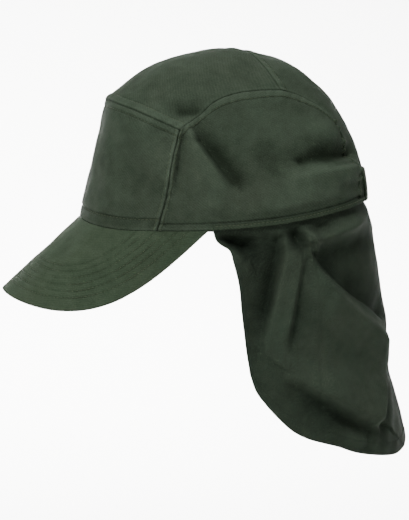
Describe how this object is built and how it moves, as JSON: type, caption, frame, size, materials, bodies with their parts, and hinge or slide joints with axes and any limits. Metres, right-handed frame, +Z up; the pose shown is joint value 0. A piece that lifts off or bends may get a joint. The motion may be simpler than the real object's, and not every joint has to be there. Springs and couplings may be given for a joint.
{
  "type": "legionnaire cap",
  "caption": "Panelled cloth sun cap with a stiff curved peak and a neck flap that hangs from behind the peak round the back.",
  "frame": {"origin": "centre of the head opening, at the height of the rim above the ears", "axes": "+Z up through the crown, -Y to the front over the peak, +X to the wearer's left"},
  "size_m": [0.1679, 0.2908, 0.2875],
  "materials": {
    "crown_cloth": "dark green cotton twill",
    "peak_cloth": "dark green cotton twill over a stiff board",
    "flap_cloth": "dark green cotton twill",
    "trim_cloth": "dark green cotton tape"
  },
  "bodies": {
    "root": {"front_panel": "crown_cloth", "top_panel": "crown_cloth", "back_panel": "crown_cloth", "side_panel_left": "crown_cloth", "side_panel_right": "crown_cloth", "peak": "peak_cloth", "rim_binding_left": "trim_cloth", "rim_binding_right": "trim_cloth", "adjuster_strap": "trim_cloth", "sweatband": "trim_cloth", "neck_flap": "flap_cloth"}
  },
  "joints": []
}
